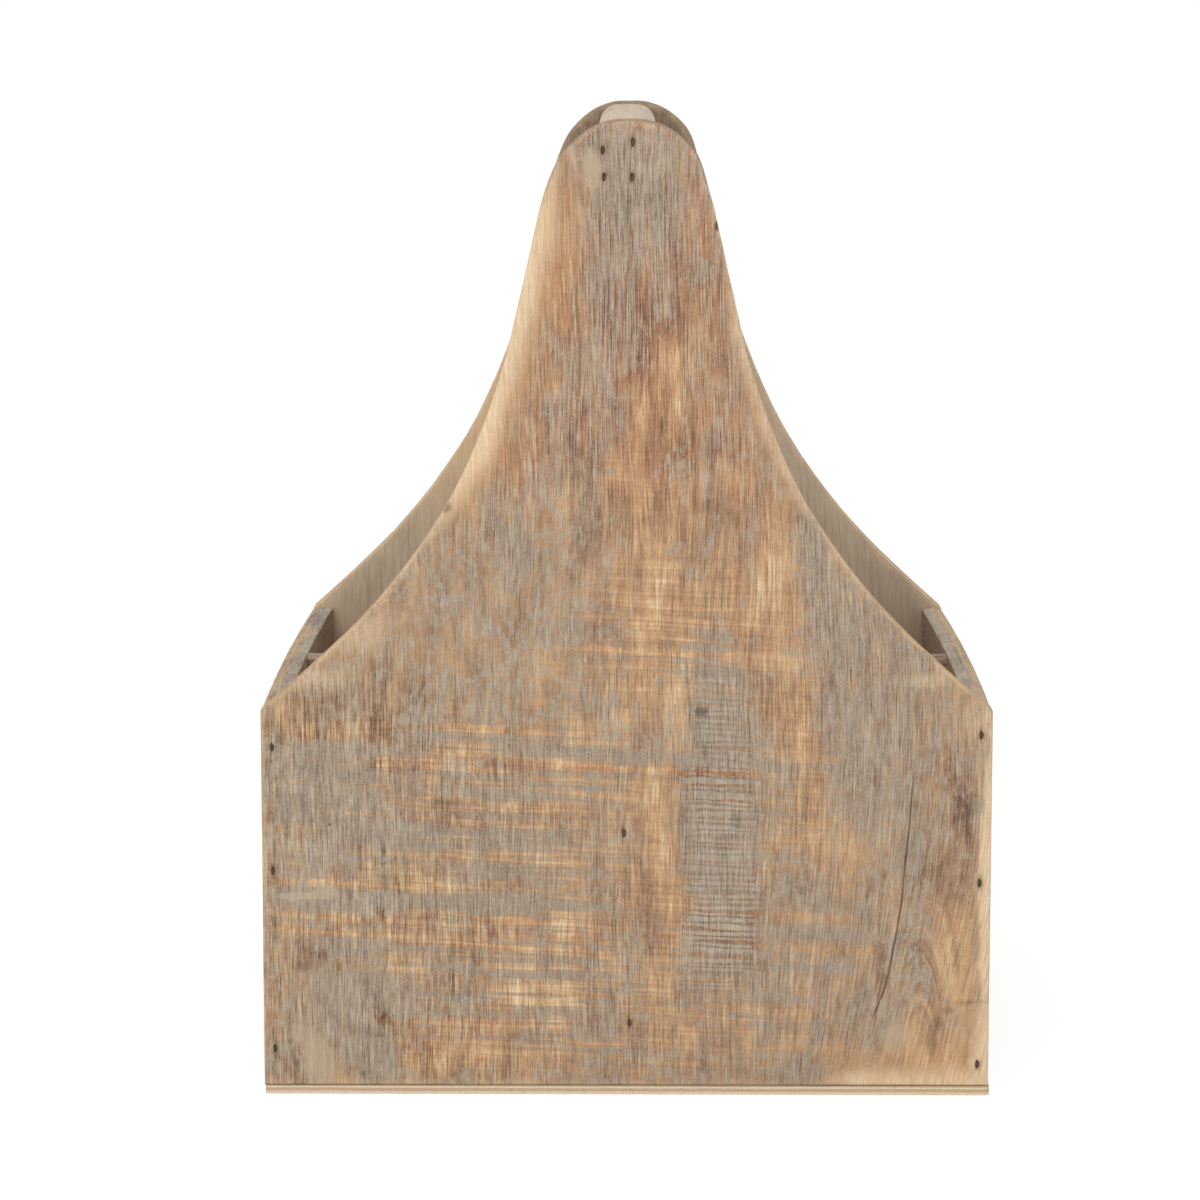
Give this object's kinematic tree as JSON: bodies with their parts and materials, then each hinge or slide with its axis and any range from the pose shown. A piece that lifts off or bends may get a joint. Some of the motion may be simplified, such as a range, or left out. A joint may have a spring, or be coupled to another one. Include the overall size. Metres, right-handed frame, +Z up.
{
  "type": "wooden bottle carrier",
  "caption": "Open-topped wooden carrier with bottle-shaped end panels, low side boards, crossed dividers forming bottle cells, a thin nailed base and a bar handle between the panels.",
  "frame": {"origin": "middle of the underside of the base", "axes": "+Z up, the handle bar and the long divider along Y, the end panels facing -Y and +Y, the side boards at -X and +X"},
  "size_m": [0.2424, 0.245, 0.3215],
  "materials": {
    "panel_wood": "weathered reclaimed board, sanded edges",
    "side_wood": "weathered grey board",
    "base_plywood": "raw thin plywood",
    "divider_wood": "raw board",
    "handle_wood": "smooth sanded",
    "nail_steel": "dark, rusted"
  },
  "bodies": {
    "root": {"front_end_panel": "panel_wood", "rear_end_panel": "panel_wood", "left_side_board": "side_wood", "right_side_board": "side_wood", "base_board": "base_plywood", "long_divider": "divider_wood", "cross_divider": "divider_wood", "handle_bar": "handle_wood", "front_handle_nails": "nail_steel", "rear_handle_nails": "nail_steel", "front_side_nails": "nail_steel", "rear_side_nails": "nail_steel", "front_divider_nails": "nail_steel", "rear_divider_nails": "nail_steel", "cross_divider_nails": "nail_steel", "base_nails": "nail_steel"}
  },
  "joints": []
}
